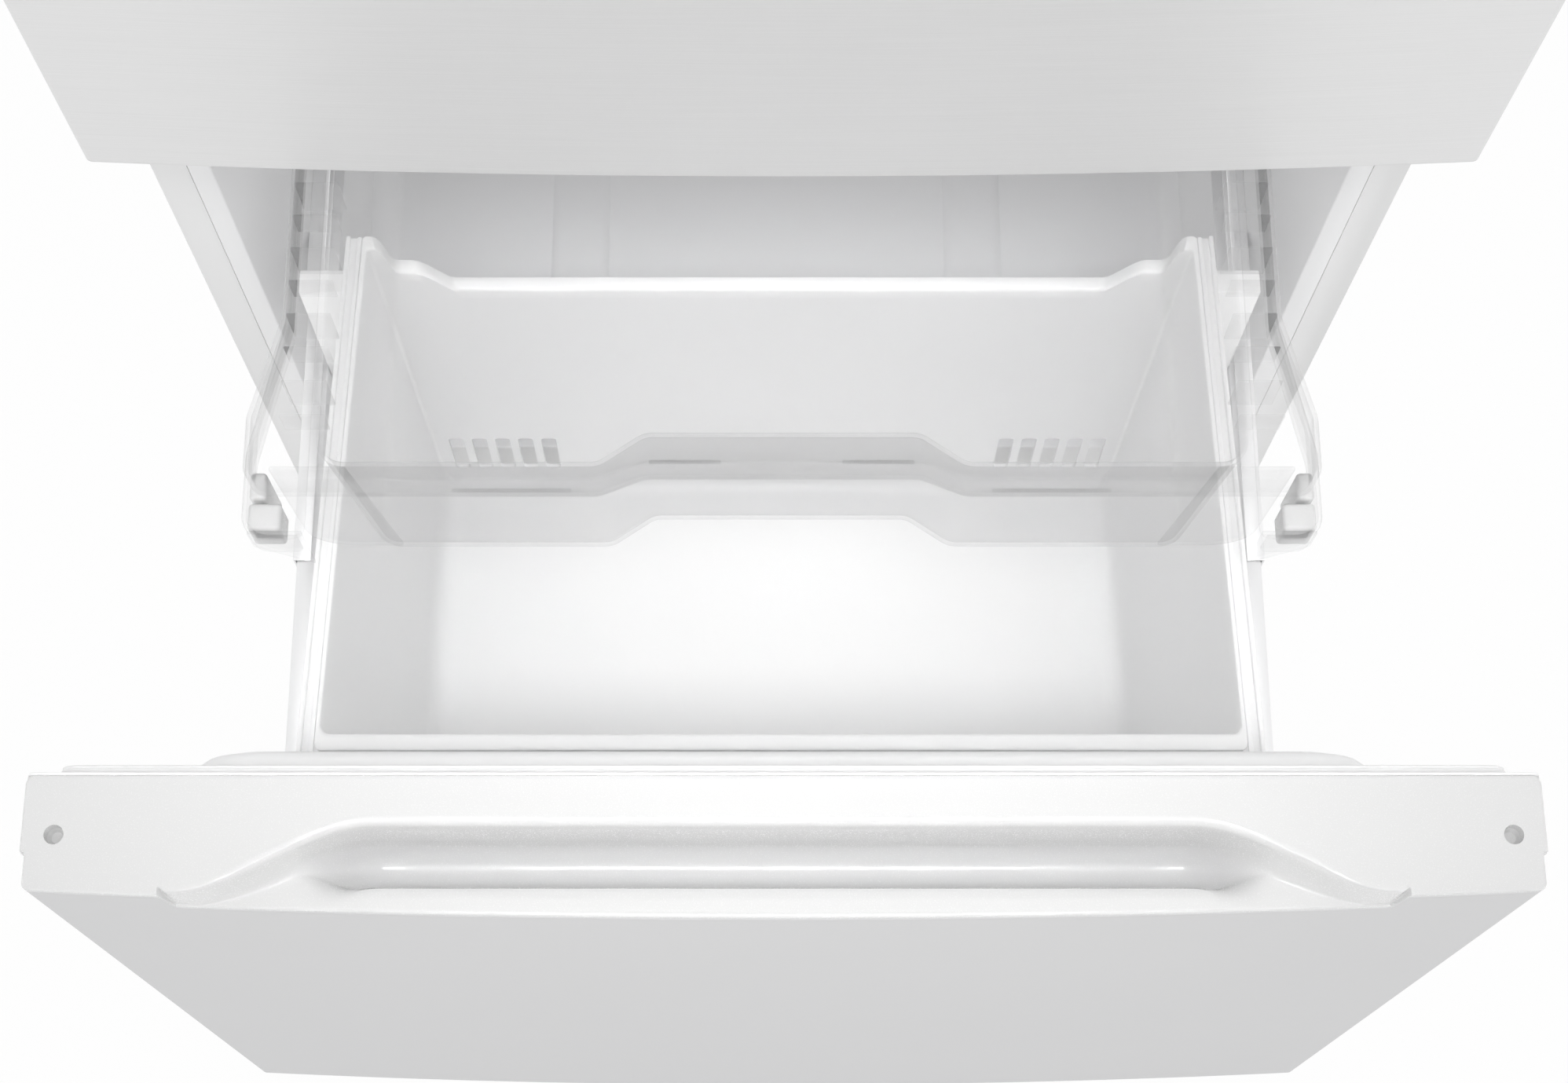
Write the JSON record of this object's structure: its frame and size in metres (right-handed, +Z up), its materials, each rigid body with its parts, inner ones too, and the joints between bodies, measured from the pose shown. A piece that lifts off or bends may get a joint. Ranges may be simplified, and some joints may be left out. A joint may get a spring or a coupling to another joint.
{
  "type": "bottom freezer refrigerator",
  "caption": "Free-standing bottom-freezer refrigerator with a swinging upper door and a pull-out freezer drawer that carries a bin under a clear tray.",
  "frame": {"origin": "on the floor, under the middle of the whole object with its drawer pulled out", "axes": "+Z up, the doors face -Y, +X to the right as the front is seen"},
  "size_m": [0.7608, 1.175, 1.715],
  "materials": {
    "door_steel": "satin",
    "drawer_steel": "satin",
    "case_steel": "satin",
    "zinc_sheet": "matte",
    "white_moulding": "satin",
    "liner_plastic": "satin",
    "bin_plastic": "satin",
    "clear_plastic": "gloss",
    "shelf_glass": "gloss",
    "white_trim": "satin",
    "seal_rubber": "matte",
    "black_rubber": "matte",
    "foam": "matte",
    "slide_steel": "satin",
    "black_steel": "satin",
    "grey_plastic": "matte",
    "coil_aluminium": "satin"
  },
  "bodies": {
    "cabinet": {"outer_case": "case_steel", "back_panel": "zinc_sheet", "base_pan": "zinc_sheet", "cabinet_foam": "foam", "fridge_liner": "liner_plastic", "freezer_liner": "liner_plastic", "mullion_bar": "liner_plastic", "kick_plate": "grey_plastic", "compressor": "black_steel", "compressor_mounts": "black_rubber", "condenser": "black_steel", "condenser_fan_motor": "grey_plastic", "drain_pan": "grey_plastic", "machine_cover": "zinc_sheet", "cord_inlet": "black_rubber", "evaporator": "coil_aluminium", "evaporator_cover": "liner_plastic", "evaporator_fan_motor": "grey_plastic", "air_duct_cover": "liner_plastic", "control_panel": "liner_plastic", "glass_shelves": "shelf_glass", "shelf_trims": "white_trim", "crisper_cover": "white_trim", "top_hinge": "slide_steel", "middle_hinge": "slide_steel", "hinge_cover": "white_moulding", "slide_outer_members": "slide_steel", "tray_rails": "white_trim"},
    "upper_door": {"door_skin": "door_steel", "door_foam": "foam", "door_liner": "liner_plastic", "door_gasket": "seal_rubber", "door_end_caps": "white_moulding", "door_grip": "white_moulding", "door_racks": "clear_plastic", "dairy_box": "clear_plastic"},
    "dairy_flap": {"dairy_lid": "clear_plastic"},
    "freezer_drawer": {"drawer_skin": "drawer_steel", "drawer_cap": "white_moulding", "drawer_trim": "white_moulding", "drawer_foam": "foam", "drawer_liner": "liner_plastic", "drawer_gasket": "seal_rubber", "bin_frame": "bin_plastic", "freezer_bin": "bin_plastic", "slide_inner_members": "slide_steel"},
    "slide_middle": {"slide_middle_members": "slide_steel"},
    "tray_carriage": {"upper_tray": "clear_plastic", "tray_guides": "clear_plastic", "guide_blocks": "white_trim"},
    "tray_wheels": {"tray_rollers": "white_trim"},
    "condenser_blower": {"condenser_fan_blade": "grey_plastic"},
    "cold_blower": {"evaporator_fan_blade": "grey_plastic"},
    "crisper_box_left": {"crisper_left": "clear_plastic"},
    "crisper_box_right": {"crisper_right": "clear_plastic"},
    "humidity_control": {"humidity_slider": "white_trim"},
    "dial": {"temperature_dial": "white_trim"},
    "foot_left": {"leveling_foot_left": "grey_plastic"},
    "foot_right": {"leveling_foot_right": "grey_plastic"},
    "rear_wheels": {"rear_rollers": "grey_plastic"}
  },
  "joints": [
    {"name": "upper_door_hinge", "type": "hinge", "parent": "cabinet", "child": "upper_door", "pos_m": [0.364, -0.1505, 0.721], "axis": [0, 0, 1], "range_deg": [0, 135]},
    {"name": "dairy_lid_hinge", "type": "hinge", "parent": "upper_door", "child": "dairy_flap", "pos_m": [0, -0.0272, 1.583], "axis": [1, 0, 0], "range_deg": [0, 80]},
    {"name": "freezer_drawer_slide", "type": "slide", "parent": "cabinet", "child": "freezer_drawer", "axis": [0, -1, 0], "range_m": [-0.398, 0]},
    {"name": "slide_middle_travel", "type": "slide", "parent": "cabinet", "child": "slide_middle", "axis": [0, -1, 0], "range_m": [-0.199, 0]},
    {"name": "tray_carriage_slide", "type": "slide", "parent": "cabinet", "child": "tray_carriage", "axis": [0, -1, 0], "range_m": [-0.2786, 0]},
    {"name": "tray_roller_spin", "type": "hinge", "parent": "tray_carriage", "child": "tray_wheels", "pos_m": [0, -0.0065, 0.613], "axis": [1, 0, 0], "continuous": true},
    {"name": "condenser_fan_spin", "type": "hinge", "parent": "cabinet", "child": "condenser_blower", "pos_m": [-0.26, 0.466, 0.128], "axis": [1, 0, 0], "continuous": true},
    {"name": "evaporator_fan_spin", "type": "hinge", "parent": "cabinet", "child": "cold_blower", "pos_m": [0, 0.3865, 0.611], "axis": [0, 1, 0], "continuous": true},
    {"name": "crisper_left_slide", "type": "slide", "parent": "cabinet", "child": "crisper_box_left", "axis": [0, -1, 0], "range_m": [0, 0.236]},
    {"name": "crisper_right_slide", "type": "slide", "parent": "cabinet", "child": "crisper_box_right", "axis": [0, -1, 0], "range_m": [0, 0.236]},
    {"name": "humidity_slider_slide", "type": "slide", "parent": "cabinet", "child": "humidity_control", "axis": [1, 0, 0], "range_m": [-0.02, 0.02]},
    {"name": "temperature_dial_turn", "type": "hinge", "parent": "cabinet", "child": "dial", "pos_m": [0, -0.0285, 1.623], "axis": [0, -1, 0], "range_deg": [-135, 135]},
    {"name": "leveling_foot_left_turn", "type": "hinge", "parent": "cabinet", "child": "foot_left", "pos_m": [-0.33, -0.0725, 0], "axis": [0, 0, 1], "range_deg": [-180, 180]},
    {"name": "leveling_foot_right_turn", "type": "hinge", "parent": "cabinet", "child": "foot_right", "pos_m": [0.33, -0.0725, 0], "axis": [0, 0, 1], "range_deg": [-180, 180]},
    {"name": "rear_roller_spin", "type": "hinge", "parent": "cabinet", "child": "rear_wheels", "pos_m": [0, 0.5275, 0.018], "axis": [1, 0, 0], "continuous": true}
  ],
  "couplings": [
    {"joint": "slide_middle_travel", "follows": "freezer_drawer_slide", "ratio": 0.5},
    {"joint": "tray_carriage_slide", "follows": "freezer_drawer_slide", "ratio": 0.7},
    {"joint": "crisper_left_slide", "follows": "upper_door_hinge", "m_per_rad": 0.1},
    {"joint": "crisper_right_slide", "follows": "upper_door_hinge", "m_per_rad": 0.1}
  ]
}
